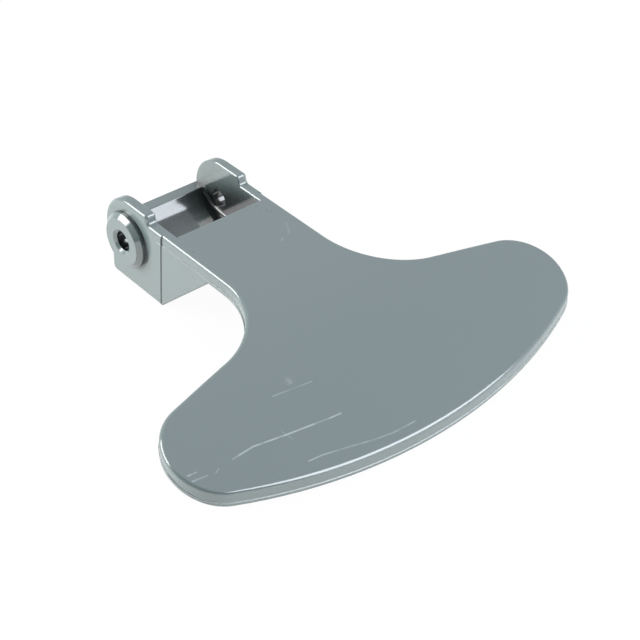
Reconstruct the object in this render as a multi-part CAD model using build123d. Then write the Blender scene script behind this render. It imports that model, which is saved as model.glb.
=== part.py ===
from build123d import *
import math
import os

# A door handle for a front loading washing machine, moulded in one piece.
# The origin is the middle of the pivot bore, X runs out along the neck to the paddle,
# Y along the pivot and Z up from the neck. All sizes are in millimetres.

# paddle and neck seen from above
paddle_width = 112.0
neck_half = 14.8
neck_end = 35.85
neck_curve = 20.3
wing_angle = 76.3
tip_radius = 11.4
front_radius = 130.4

# thickness of the plate, and how it sags past the neck along its middle and its tips
plate_top = 7.9
plate_thick = 3.85
sag_middle = 150.0
sag_tips = 121.4
top_round = 0.9
bottom_chamfer = 0.5

# mould lines: the lower band stands out from the upper one, and the ears from both
mould_line_depth = 2.6
band_ledge = 0.12
ear_ledge = 0.3
seam_bottom = 12.1
seam_lean = 0.8

# ears
ear_wall = 2.85
ear_rise = 2.25
lobe_radius = 9.35
step_foot = 7.75
step_run = 0.6
step_foot_round = 0.9
step_top_round = 1.0
inner_chamfer = 0.25

# block under the ears, and the cheeks that run from it up to the neck
block_back = -7.35
block_bottom = -12.7
block_corner = 1.6
ramp_start = 0.27
ramp_top = 29.9
cheek_round = 0.4

# pocket between the ears: its trough, floor and front wall
trough_radius = 9.2
trough_x = 1.6
trough_depth = 3.6
trough_rim = 0.6
rim_round = 0.5
trough_wall = 2.7
trough_side_round = 0.7
floor_corner = 3.0
pocket_front = 15.25
pocket_round = 0.8
side_strip = 1.0
front_wall = 2.8

# bosses and pivot bore
boss_radius = 7.1
boss_height = 2.15
boss_chamfer = 1.1
bore_radius = 2.5
mouth_radius = 3.3
mouth_depth = 0.6

# how far one form reaches into the next where they join
overlap = 0.5

plate_bottom = plate_top - plate_thick
mould_line = plate_top - mould_line_depth
ear_outer = neck_half + ear_ledge
ear_inner = ear_outer - ear_wall
ear_top = plate_top + ear_rise
lobe_centre = ear_top - lobe_radius
seam_top = seam_bottom + seam_lean
ramp_foot = seam_bottom + ramp_start
boss_face = ear_outer + boss_height

# centres of the arcs of the paddle's outline
slope = math.radians(wing_angle)
normal = (-math.sin(slope), math.cos(slope))
hollow = (neck_end, neck_half + neck_curve)
tip_y = paddle_width / 2 - tip_radius
reach = normal[0] * hollow[0] + normal[1] * hollow[1] - neck_curve - tip_radius
tip_x = (reach - normal[1] * tip_y) / normal[0]
front_x = tip_x - math.sqrt((front_radius - tip_radius) ** 2 - tip_y**2)
front_turn = math.atan2(tip_y, tip_x - front_x)
paddle_front = front_x + front_radius


# a point on an arc
def on_arc(centre, radius, angle):
    return (centre[0] + radius * math.cos(angle), centre[1] + radius * math.sin(angle))


# outline of neck and paddle from above, grown by a margin
def outline(grow):
    low, high = -math.pi / 2, slope - math.pi / 2
    back = slope + math.pi / 2
    tip = (tip_x, tip_y)
    neck_side = [(seam_bottom, neck_half + grow), (neck_end, neck_half + grow)]
    inner_curve = [on_arc(hollow, neck_curve - grow, a) for a in (low, (low + high) / 2, high)]
    tip_turns = (back, (back + front_turn) / 2, front_turn)
    tip_curve = [on_arc(tip, tip_radius + grow, a) for a in tip_turns]
    edges = []
    for side in (1, -1):
        for points in (neck_side, inner_curve, [inner_curve[2], tip_curve[0]], tip_curve):
            placed = [(x, y * side) for x, y in points]
            edges.append(Line(*placed) if len(points) == 2 else ThreePointArc(*placed))
    corner = tip_curve[2]
    nose = (paddle_front + grow, 0)
    edges.append(ThreePointArc(corner, nose, (corner[0], -corner[1])))
    edges.append(Line(neck_side[0], (seam_bottom, -neck_half - grow)))
    return Face(Wire(Curve(edges).edges()))


# how much the plate has sagged at a point
def sag(x, y):
    middle, tips = 1 / (2 * sag_middle), 1 / (2 * sag_tips)
    share = (2 * y / paddle_width) ** 2
    return max(x - neck_end, 0) ** 2 * (middle + (tips - middle) * share)


# one layer of the plate between two levels: flat along the neck, sagging past it
def layer(upper, lower, grow):
    length = paddle_front - neck_end + plate_thick
    half = paddle_width / 2 + plate_thick
    level, edge = sag(neck_end + length, 0), sag(neck_end + length, half)
    rows = []
    for along, drops in ((0, (0, 0, 0)), (0.5, (0, 0, 0)), (1, (edge, 2 * level - edge, edge))):
        x = neck_end + length * along
        rows.append([(x, half * (i - 1), upper - drop) for i, drop in enumerate(drops)])
    sheet = Face.make_bezier_surface(rows)
    paddle = extrude(sheet, amount=upper - lower, dir=(0, 0, -1))
    neck = Pos(neck_end, 0, lower) * Box(
        neck_end, 2 * half, upper - lower, align=(Align.MAX, Align.CENTER, Align.MIN)
    )
    column = extrude(Pos(0, 0, -half) * outline(grow), amount=2 * half, dir=(0, 0, 1))
    return (paddle & column) + (neck & column)


# the edges of a layer's rim on its upper or lower face
def rim(body, level):
    chosen = []
    for edge in body.edges():
        middle = edge @ 0.5
        on_face = abs(middle.Z + sag(middle.X, middle.Y) - level) < 0.01
        if on_face and all(abs(middle.X - x) > 0.01 for x in (seam_bottom, neck_end)):
            chosen.append(edge)
    return chosen


# the edges that lie wholly in a plane across Y
def edges_in_plane(body, y):
    return [e for e in body.edges() if all(abs((e @ t).Y - y) < 0.01 for t in (0, 0.5, 1))]


# a profile in the XZ plane pushed out along Y between two distances from the middle
def slab(face, near, far):
    return extrude(Pos(0, near, 0) * face, amount=far - near, dir=(0, 1, 0))


# a closed outline in the XZ plane, with some of its corners rounded
def side_face(corners, rounds=()):
    points = [(x, 0, z) for x, z in corners]
    edges = [Line(a, b) for a, b in zip(points, points[1:] + points[:1])]
    return round_corners(Face(Wire(Curve(edges).edges())), rounds)


def round_corners(face, rounds):
    for spot, radius in rounds:
        corner = min(face.vertices(), key=lambda v: math.dist((v.X, v.Z), spot))
        face = face.fillet_2d(radius, [corner])
    return face


# how far a point lies in front of the leaning mould line behind the ramp
def ahead_of_seam(point):
    lean = seam_lean / (plate_top - block_bottom)
    return point.X - seam_bottom - lean * (point.Z - block_bottom)


# the plate, in an upper layer and a lower band that stands out from it
upper_layer = layer(plate_top, mould_line, 0)
upper_layer = fillet(rim(upper_layer, plate_top), top_round)
lower_band = layer(mould_line, plate_bottom, band_ledge)
lower_band = chamfer(rim(lower_band, plate_bottom), bottom_chamfer)
plate = upper_layer + lower_band

# the pocket's opening in the plate, cut a strip wider than the ears leave it, with a round lip
plate -= Pos(pocket_front, 0, 0) * Box(
    pocket_front,
    2 * (ear_inner + side_strip / 2),
    2 * plate_top + plate_thick,
    align=(Align.MAX, Align.CENTER, Align.CENTER),
)
lip = [
    e
    for e in plate.edges()
    if all(math.dist(((e @ t).X, (e @ t).Z), (pocket_front, plate_top)) < 0.01 for t in (0, 1))
]
plate = fillet(lip, pocket_round)

# one ear: its block, the round lobe behind the pivot and the step down to the neck
ear_side = side_face(
    [
        (seam_bottom, block_bottom),
        (seam_top, plate_top),
        (step_foot, plate_top),
        (step_foot - step_run, ear_top),
        (0, ear_top),
        (0, lobe_centre),
        (block_back, lobe_centre),
        (block_back, block_bottom),
    ],
    [
        ((step_foot, plate_top), step_foot_round),
        ((step_foot - step_run, ear_top), step_top_round),
        ((block_back, block_bottom), block_corner),
    ],
)
lobe = (Pos(0, 0, lobe_centre) * Rot(90, 0, 0) * Circle(lobe_radius)).face()
ear = slab(ear_side, ear_inner, ear_outer) + slab(lobe, ear_inner, ear_outer)
outer_edges = edges_in_plane(ear, ear_outer)
ear = fillet([e for e in outer_edges if abs(ahead_of_seam(e @ 0.5)) > 0.05], top_round)

# the strip that carries the ear's inner edge on to the pocket's front corner
strip_back, strip_front = step_foot + step_foot_round, pocket_front + pocket_round
strip_side = side_face(
    [
        (strip_back, plate_bottom),
        (strip_front, plate_bottom),
        (strip_front, plate_top),
        (strip_back, plate_top),
    ]
)
ear += slab(strip_side, ear_inner, ear_inner + side_strip)
inner_edges = edges_in_plane(ear, ear_inner)
above = [e for e in inner_edges if (e @ 0.5).Z > mould_line or (e @ 0.5).X < block_back]
ear = chamfer(above, inner_chamfer)

# one cheek, cut off along the ramp
cheek_side = side_face(
    [
        (seam_bottom - overlap, block_bottom),
        (ramp_foot, block_bottom),
        (ramp_top, plate_bottom),
        (ramp_top, plate_bottom + overlap),
        (seam_top - overlap, plate_bottom + overlap),
    ]
)
cheek_outer = neck_half + band_ledge
cheek = slab(cheek_side, ear_inner, cheek_outer)
cheek_edges = edges_in_plane(cheek, cheek_outer)
below = [e for e in cheek_edges if (e @ 0.5).Z < plate_bottom and ahead_of_seam(e @ 0.5) > -overlap / 2]
cheek = fillet(below, cheek_round)

# one boss, with the end of its outer face cut at an angle
along_pivot = (Align.CENTER, Align.CENTER, Align.MIN)
boss = Cylinder(boss_radius, ear_wall + boss_height, align=along_pivot)
boss = Pos(0, ear_inner, 0) * Rot(-90, 0, 0) * chamfer(boss.edges().sort_by(Axis.Z)[-1], boss_chamfer)

# the pivot bore with its two wider mouths
mouth = Cone(bore_radius, mouth_radius, mouth_depth, align=along_pivot)
mouth = Pos(0, boss_face - mouth_depth, 0) * Rot(-90, 0, 0) * mouth
bore = Rot(90, 0, 0) * Cylinder(bore_radius, 2 * boss_face + boss_height)
bore = bore + mouth + mirror(mouth, Plane.XZ)

# the pocket's wall: round the trough, along the floor and up the front
trough_centre = (trough_x, trough_radius - trough_depth)
outer_radius = trough_radius + trough_wall
wall_front = pocket_front + front_wall
roof = plate_bottom + overlap
above_all = ear_top + overlap


# an arc about the trough's axis, from the level of its rim down to its lowest point
def trough_arc(radius):
    start = math.pi + math.asin((trough_centre[1] - trough_rim) / radius)
    turns = (start, (start + 1.5 * math.pi) / 2, 1.5 * math.pi)
    return [on_arc(trough_centre, radius, a) for a in turns]


# a closed outline in the XZ plane that ends in an arc about the trough's axis
def trough_face(arc, corners):
    points = [(x, 0, z) for x, z in [arc[2], *corners, arc[0]]]
    edges = [Line(a, b) for a, b in zip(points, points[1:])]
    edges.append(ThreePointArc(*[(x, 0, z) for x, z in arc]))
    return Face(Wire(Curve(edges).edges()))


outside = trough_arc(outer_radius)
filled = trough_face(outside, [(wall_front, outside[2][1]), (wall_front, roof), (trough_x, trough_rim)])
inside = trough_arc(trough_radius)
hollow_side = trough_face(
    inside,
    [
        (pocket_front, -trough_depth),
        (pocket_front, above_all),
        (-2 * outer_radius, above_all),
        (-2 * outer_radius, trough_rim),
    ],
)
hollow_side = round_corners(
    hollow_side, [(inside[0], rim_round), ((pocket_front, -trough_depth), floor_corner)]
)
hollow_space = slab(hollow_side, -ear_inner, ear_inner)
low_edges = [
    e
    for y in (-ear_inner, ear_inner)
    for e in edges_in_plane(hollow_space, y)
    if (e @ 0.5).Z < trough_rim + 0.01
]
hollow_space = fillet(low_edges, trough_side_round)
wall = slab(filled, -ear_inner - overlap, ear_inner + overlap) - hollow_space

# everything joined, both sides alike
half = ear + cheek + boss
handle = plate + wall + half + mirror(half, Plane.XZ) - bore

os.makedirs("parts", exist_ok=True)
export_step(handle, "parts/door_handle.step")
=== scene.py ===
import math

import bpy
from mathutils import Matrix, Vector


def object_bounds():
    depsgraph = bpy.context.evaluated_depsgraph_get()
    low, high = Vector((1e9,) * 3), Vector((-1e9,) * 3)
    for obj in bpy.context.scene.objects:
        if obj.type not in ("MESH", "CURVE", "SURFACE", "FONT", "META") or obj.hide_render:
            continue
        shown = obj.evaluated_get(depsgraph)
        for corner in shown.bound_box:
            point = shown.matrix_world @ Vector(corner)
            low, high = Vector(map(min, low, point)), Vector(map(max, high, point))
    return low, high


# The door handle: paddle, neck, ears and bosses, injection moulded in one piece of hard grey
# plastic. It is loaded as packed, in metres, with X out along the neck, Y along the pivot and
# Z up. Its shape stays as it is, and the sections below only give it its finish.
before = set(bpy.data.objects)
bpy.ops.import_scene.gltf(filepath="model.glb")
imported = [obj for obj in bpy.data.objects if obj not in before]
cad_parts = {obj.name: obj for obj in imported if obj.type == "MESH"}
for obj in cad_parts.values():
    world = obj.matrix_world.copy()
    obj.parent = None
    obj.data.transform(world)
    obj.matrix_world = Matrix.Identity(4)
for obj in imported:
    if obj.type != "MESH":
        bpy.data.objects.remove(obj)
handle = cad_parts["door_handle"]
cad_low, cad_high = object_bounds()

# The plastic of the handle: mid grey, with the hard gloss that a polished mould leaves.
# Its nodes read the place on the part in millimetres, so that every mark stays put, and
# scratches, smears and specks show only on faces that look up.
MM = 0.001
PLASTIC_GREY = (0.124, 0.158, 0.160, 1)
PLASTIC_ROUGHNESS = 0.12
PLASTIC_IOR = 2.2
TOP_FROM, TOP_FULL = 0.8, 0.9

plastic = bpy.data.materials.new("gloss_grey_plastic")
plastic.use_nodes = True
nodes = plastic.node_tree.nodes
links = plastic.node_tree.links


def put(socket, value):
    if isinstance(value, bpy.types.NodeSocket):
        links.new(value, socket)
    else:
        socket.default_value = value


def ramp(value, start, end, low=0.0, high=1.0):
    node = nodes.new("ShaderNodeMapRange")
    node.interpolation_type = "SMOOTHSTEP"
    for name, number in (("From Min", start), ("From Max", end), ("To Min", low), ("To Max", high)):
        node.inputs[name].default_value = number
    put(node.inputs["Value"], value)
    return node.outputs["Result"]


def vector(operation, *values, scale=None, result="Vector"):
    node = nodes.new("ShaderNodeVectorMath")
    node.operation = operation
    for socket, value in zip(node.inputs, values):
        put(socket, value)
    if scale is not None:
        put(node.inputs["Scale"], scale)
    return node.outputs[result]


def split(value):
    node = nodes.new("ShaderNodeSeparateXYZ")
    links.new(value, node.inputs["Vector"])
    return node.outputs


place = vector("SCALE", nodes.new("ShaderNodeTexCoord").outputs["Object"], scale=1 / MM)
flat_place = vector("MULTIPLY", place, (1, 1, 0))
face_up = split(nodes.new("ShaderNodeNewGeometry").outputs["True Normal"])["Z"]
on_top = ramp(face_up, TOP_FROM, TOP_FULL)

# Scratches, rubs and nicks that handling has left on the top: each is a row of straight
# strokes, paler and duller than the plastic. Points and widths are millimetres along X and Y.
SCRATCH_PALE = (0.50, 0.57, 0.61, 1)
SCRATCH_ROUGHNESS = 0.35
SCRATCH_LONG = [(75.6, -44.4), (75.5, -39.1), (76.9, -31.6), (78.5, -21.3), (78.8, -18.6)]
SCRATCH_FRONT = [(83.8, -31.5), (84.2, -28.2), (85.9, -21.0), (87.0, -16.6), (87.8, -11.8), (88.1, -5.8)]
SCRATCH_FAINT = [(68.2, -28.1), (68.9, -23.4), (69.6, -18.5)]
SCRATCH_TICK = [(75.9, -31.9), (78.3, -31.2)]
RUB_LONG = [(26.6, 11.0), (27.6, 10.4), (28.8, 9.9), (30.0, 8.9)]
RUB_SHORT = [(31.3, 5.6), (30.7, 6.6)]
NICKS = [
    [(73.9, -54.2), (74.1, -52.4)],
    [(75.3, -54.1), (75.8, -50.9)],
    [(76.2, -49.1), (75.8, -48.1)],
]
NICK_WIDTH = 0.24
NICK_STRENGTH = 0.40
STROKES = [
    (SCRATCH_LONG, 0.26, 0.44),
    (SCRATCH_FRONT, 0.22, 0.32),
    (SCRATCH_FAINT, 0.22, 0.20),
    (SCRATCH_TICK, 0.18, 0.14),
    (RUB_LONG, 0.42, 0.16),
    (RUB_SHORT, 0.30, 0.12),
] + [(nick, NICK_WIDTH, NICK_STRENGTH) for nick in NICKS]
STROKE_CORE = 0.35
WEAR_SCALE = 0.28
WEAR_DETAIL = 4.0
WEAR_FROM, WEAR_FULL = 0.38, 0.6
WEAR_LEAST = 0.35


def calc(operation, *values, clamp=False):
    node = nodes.new("ShaderNodeMath")
    node.operation = operation
    node.use_clamp = clamp
    for socket, value in zip(node.inputs, values):
        put(socket, value)
    return node.outputs["Value"]


def noise(place, scale, detail):
    node = nodes.new("ShaderNodeTexNoise")
    put(node.inputs["Vector"], place)
    node.inputs["Scale"].default_value = scale
    node.inputs["Detail"].default_value = detail
    return node.outputs["Fac"]


def tint(below, above, share):
    node = nodes.new("ShaderNodeMix")
    node.data_type = "RGBA"
    sockets = {socket.identifier: socket for socket in [*node.inputs, *node.outputs]}
    put(sockets["Factor_Float"], share)
    put(sockets["A_Color"], below)
    put(sockets["B_Color"], above)
    return sockets["Result_Color"]


def distance_to_stroke(start, end):
    run = Vector((end[0] - start[0], end[1] - start[1], 0))
    away = vector("SUBTRACT", flat_place, (start[0], start[1], 0))
    along = vector("DOT_PRODUCT", away, tuple(run / run.length_squared), result="Value")
    nearest = vector("SCALE", tuple(run), scale=calc("ADD", along, 0.0, clamp=True))
    return vector("DISTANCE", away, nearest, result="Value")


scratched = 0.0
for points, width, strength in STROKES:
    for start, end in zip(points, points[1:]):
        stroke = ramp(distance_to_stroke(start, end), width * STROKE_CORE, width, strength, 0.0)
        scratched = calc("MAXIMUM", scratched, stroke)
worn = ramp(noise(flat_place, WEAR_SCALE, WEAR_DETAIL), WEAR_FROM, WEAR_FULL, WEAR_LEAST, 1.0)
scratched = calc("MULTIPLY", calc("MULTIPLY", scratched, worn), on_top)
colour = tint(PLASTIC_GREY, SCRATCH_PALE, scratched)

# Dark specks of dirt on the neck near the pocket, and one faint pale smear on the paddle.
# Each spot is a place along X and Y with its radius, in millimetres.
SPECK_DARK = (0.085, 0.105, 0.108, 1)
SPECK_STRENGTH = 0.75
SPECK_CORE = 0.5
SPECKS = [
    (22.4, -13.0, 0.28),
    (16.9, 10.0, 0.3),
    (19.0, 9.2, 0.25),
    (19.8, 10.9, 0.3),
    (20.8, 11.3, 0.3),
    (16.6, 7.2, 0.25),
]
SMEARS = [(67.0, -22.6, 1.1)]
SMEAR_CORE = 0.2
SMEAR_SCALE = 1.4
SMEAR_DETAIL = 4.0
SMEAR_FROM, SMEAR_FULL = 0.40, 0.65
SMEAR_LEAST, SMEAR_MOST = 0.04, 0.15
SPOT_REACH = 1.4


def spots(places, core):
    found = 0.0
    for along, across, radius in places:
        gap = vector("DISTANCE", flat_place, (along, across, 0), result="Value")
        found = calc("MAXIMUM", found, ramp(gap, radius * core, radius * SPOT_REACH, 1.0, 0.0))
    return calc("MULTIPLY", found, on_top)


patchy = ramp(noise(flat_place, SMEAR_SCALE, SMEAR_DETAIL), SMEAR_FROM, SMEAR_FULL, SMEAR_LEAST, SMEAR_MOST)
colour = tint(colour, SCRATCH_PALE, calc("MULTIPLY", spots(SMEARS, SMEAR_CORE), patchy))
colour = tint(colour, SPECK_DARK, calc("MULTIPLY", spots(SPECKS, SPECK_CORE), SPECK_STRENGTH))

# The mould line: a fine pale line round the rim where the halves of the mould met. Its paleness is
# a painted highlight, for the light that the small ledge there catches. It follows the plate, which sags
# past the neck on one radius along its middle and a tighter one towards its tips, and it stops short of the
# ears.
LINE_HIGHLIGHT_PALE = (0.52, 0.57, 0.57, 1)
LINE_STRENGTH = 0.5
LINE_LEVEL = 5.3
LINE_HALF = 0.09
LINE_CORE = 0.5
LINE_REACH = 1.6
NECK_END = 35.85
SAG_RADIUS_MIDDLE = 150.0
SAG_RADIUS_TIPS = 121.4
PADDLE_HALF = 56.0
ACROSS_WEIGHT = 2.0
LINE_START = 41.5

x, y, z = split(place)
past_neck = calc("MAXIMUM", calc("SUBTRACT", x, NECK_END), 0.0)
towards_tip = calc("POWER", calc("DIVIDE", calc("ABSOLUTE", y), PADDLE_HALF), 2.0)
bend_middle, bend_tips = 1 / (2 * SAG_RADIUS_MIDDLE), 1 / (2 * SAG_RADIUS_TIPS)
bend = calc("MULTIPLY_ADD", towards_tip, bend_tips - bend_middle, bend_middle)
drop = calc("MULTIPLY", calc("MULTIPLY", past_neck, past_neck), bend)
off_line = calc("ABSOLUTE", calc("SUBTRACT", calc("ADD", z, drop), LINE_LEVEL))
from_ears = calc("MULTIPLY_ADD", calc("ABSOLUTE", y), ACROSS_WEIGHT, x)
line = ramp(off_line, LINE_HALF * LINE_CORE, LINE_HALF * LINE_REACH, LINE_STRENGTH, 0.0)
line_highlight_share = calc("MULTIPLY", line, calc("GREATER_THAN", from_ears, LINE_START))
# The pale mould line is a painted highlight of its ledge.
colour = tint(colour, LINE_HIGHLIGHT_PALE, line_highlight_share)

# Painted shade: inside the pocket, the bore and the channel the grey is set darker from an ambient
# occlusion node, most on what lies flat, because those places are near black in the photo.
RECESS_REACH = 25.0
PAINTED_RECESS_SHADE = 0.05
RECESS_SHUT, RECESS_OPEN = 0.54, 0.76
RECESS_SAMPLES = 16
UPRIGHT_GAIN = 0.06

openness = nodes.new("ShaderNodeAmbientOcclusion")
openness.only_local = True
openness.samples = RECESS_SAMPLES
openness.inputs["Distance"].default_value = RECESS_REACH * MM
upright = calc("MULTIPLY_ADD", calc("ABSOLUTE", face_up), -UPRIGHT_GAIN, UPRIGHT_GAIN)
painted_shade_share = ramp(calc("ADD", openness.outputs["AO"], upright), RECESS_SHUT, RECESS_OPEN, PAINTED_RECESS_SHADE, 1.0)
# The painted shade scales the grey down in the recesses.
colour = vector("SCALE", colour, scale=painted_shade_share)

# The finished surface: the marked grey, duller along the scratches, with the sharp moulded
# edges catching the light as if they were rounded by a fraction of a millimetre.
EDGE_SOFTENING = 0.15
EDGE_SAMPLES = 8

edges = nodes.new("ShaderNodeBevel")
edges.samples = EDGE_SAMPLES
edges.inputs["Radius"].default_value = EDGE_SOFTENING * MM
gloss = ramp(scratched, 0.0, 1.0, PLASTIC_ROUGHNESS, SCRATCH_ROUGHNESS)
shader = nodes["Principled BSDF"]
shader.inputs["IOR"].default_value = PLASTIC_IOR
links.new(colour, shader.inputs["Base Color"])
links.new(gloss, shader.inputs["Roughness"])
links.new(edges.outputs["Normal"], shader.inputs["Normal"])

for index in range(len(handle.data.materials)):
    handle.data.materials[index] = plastic

# The table it lies on: a plain white sheet, touching the block's front edge and the paddle,
# so it is tilted by the few degrees that the handle leans when it rests on those two. To
# the camera and in the gloss it is an even white, and from below it is clear.
BLOCK_FOOT = Vector((12.37 * MM, 0, cad_low.z))
PADDLE_FOOT = Vector((90.7 * MM, 0, -6.35 * MM))
SHEET_SIZE = 4.0
SHEET_WHITE = (0.88, 0.90, 0.88, 1)
SHEET_ROUGHNESS = 0.9
SHEET_GLOW = 0.96

rise = math.atan2(PADDLE_FOOT.z - BLOCK_FOOT.z, PADDLE_FOOT.x - BLOCK_FOOT.x)
bpy.ops.mesh.primitive_plane_add(size=SHEET_SIZE)
sheet = bpy.context.object
sheet.name = "white_sheet"
sheet.matrix_world = Matrix.Translation(BLOCK_FOOT) @ Matrix.Rotation(-rise, 4, "Y")

paper = bpy.data.materials.new("white_paper")
paper.use_nodes = True
nodes = paper.node_tree.nodes
links = paper.node_tree.links


def mix_shaders(share, first, second):
    node = nodes.new("ShaderNodeMixShader")
    for socket, value in zip(node.inputs, (share, first, second)):
        links.new(value, socket)
    return node.outputs["Shader"]


shader = nodes["Principled BSDF"]
shader.inputs["Base Color"].default_value = SHEET_WHITE
shader.inputs["Roughness"].default_value = SHEET_ROUGHNESS
shader.inputs["Specular IOR Level"].default_value = 0.0
white = nodes.new("ShaderNodeEmission")
white.inputs["Strength"].default_value = 1.0
clear = nodes.new("ShaderNodeBsdfTransparent")
ray = nodes.new("ShaderNodeLightPath").outputs
seen = calc("MULTIPLY", calc("MAXIMUM", ray["Is Camera Ray"], ray["Is Glossy Ray"]), SHEET_GLOW)
from_above = mix_shaders(seen, shader.outputs["BSDF"], white.outputs["Emission"])
below = nodes.new("ShaderNodeNewGeometry").outputs["Backfacing"]
surface = mix_shaders(below, from_above, clear.outputs["BSDF"])
links.new(surface, nodes["Material Output"].inputs["Surface"])
sheet.data.materials.append(paper)

# The softboxes round the table, each given by azimuth and elevation in degrees, width and
# height in metres, power in watts and colour. The front one and the one for the ears' rims
# show in the gloss, and the two low ones only fill the walls.
MIDDLE = Vector((35 * MM, 0, 0))
SOFTBOX_DISTANCE = 1.0
FRONT_COLOUR = (0.87, 0.93, 1.0)
FILL_COLOUR = (0.99, 1.0, 1.0)
BACK_COLOUR = (1.0, 1.0, 0.96)
RIM_COLOUR = (1.0, 1.0, 0.98)


def towards(azimuth, elevation):
    turn, lift = math.radians(azimuth), math.radians(elevation)
    flat = math.cos(lift)
    return Vector((math.cos(turn) * flat, math.sin(turn) * flat, math.sin(lift)))


def softbox(name, azimuth, elevation, width, height, power, colour, in_gloss):
    data = bpy.data.lights.new(name, "AREA")
    data.shape = "RECTANGLE"
    data.size, data.size_y = width, height
    data.energy = power
    data.color = colour
    lamp = bpy.data.objects.new(name, data)
    bpy.context.scene.collection.objects.link(lamp)
    lamp.location = MIDDLE + towards(azimuth, elevation) * SOFTBOX_DISTANCE
    lamp.rotation_euler = towards(azimuth, elevation).to_track_quat("Z", "Y").to_euler()
    lamp.visible_glossy = in_gloss


softbox("softbox_front", 32, 41, 0.80, 0.64, 7.0, FRONT_COLOUR, True)
softbox("softbox_fill", 35, 15, 0.9, 0.5, 8.0, FILL_COLOUR, False)
softbox("softbox_back", -135, 10, 0.9, 0.5, 18.0, BACK_COLOUR, False)
softbox("softbox_rim", -133, 30, 0.7, 0.45, 5.5, RIM_COLOUR, True)

# The tent round the table: white cloth all round, open and dark on the side that the camera
# looks in from. The camera itself sees plain white beyond the sheet.
TENT_WHITE = (0.59, 0.61, 0.64, 1)
TENT_DARK = (0.05, 0.05, 0.05, 1)
BACKDROP_WHITE = (1, 1, 1, 1)
OPEN_AZIMUTH, OPEN_ELEVATION = -52, 12
OPEN_INNER, OPEN_OUTER = 42, 72

tent = bpy.data.worlds.new("light_tent")
bpy.context.scene.world = tent
tent.use_nodes = True
nodes = tent.node_tree.nodes
links = tent.node_tree.links
direction = nodes.new("ShaderNodeTexCoord").outputs["Generated"]
opening = tuple(towards(OPEN_AZIMUTH, OPEN_ELEVATION))
to_opening = vector("DOT_PRODUCT", direction, opening, result="Value")
inner, outer = (math.cos(math.radians(angle)) for angle in (OPEN_INNER, OPEN_OUTER))
cloth = nodes["Background"]
links.new(tint(TENT_WHITE, TENT_DARK, ramp(to_opening, outer, inner)), cloth.inputs["Color"])
backdrop = nodes.new("ShaderNodeBackground")
backdrop.inputs["Color"].default_value = BACKDROP_WHITE
to_camera = nodes.new("ShaderNodeLightPath").outputs["Is Camera Ray"]
surface = mix_shaders(to_camera, cloth.outputs["Background"], backdrop.outputs["Background"])
links.new(surface, nodes["World Output"].inputs["Surface"])

# The camera: a long lens above the paddle's right, looking back at the ears. Its place is in
# metres, and its two directions are unit vectors, ahead and to the right of the picture.
CAMERA_PLACE = Vector((0.239725, -0.177709, 0.204700))
LOOK_AHEAD = Vector((-0.57018, 0.53833, -0.62056))
LOOK_RIGHT = Vector((0.66266, 0.74786, 0.03990))
LENS = 83.275
SENSOR = 36.0
NEAREST = 0.01

ahead = LOOK_AHEAD.normalized()
up = LOOK_RIGHT.cross(ahead).normalized()
right = ahead.cross(up)
data = bpy.data.cameras.new("camera")
data.lens = LENS
data.sensor_width = SENSOR
data.clip_start = NEAREST
camera = bpy.data.objects.new("camera", data)
bpy.context.scene.collection.objects.link(camera)
turned = Matrix((right, up, -ahead)).transposed().to_4x4()
camera.matrix_world = Matrix.Translation(CAMERA_PLACE) @ turned
bpy.context.scene.camera = camera
bpy.context.scene.view_settings.view_transform = "Standard"
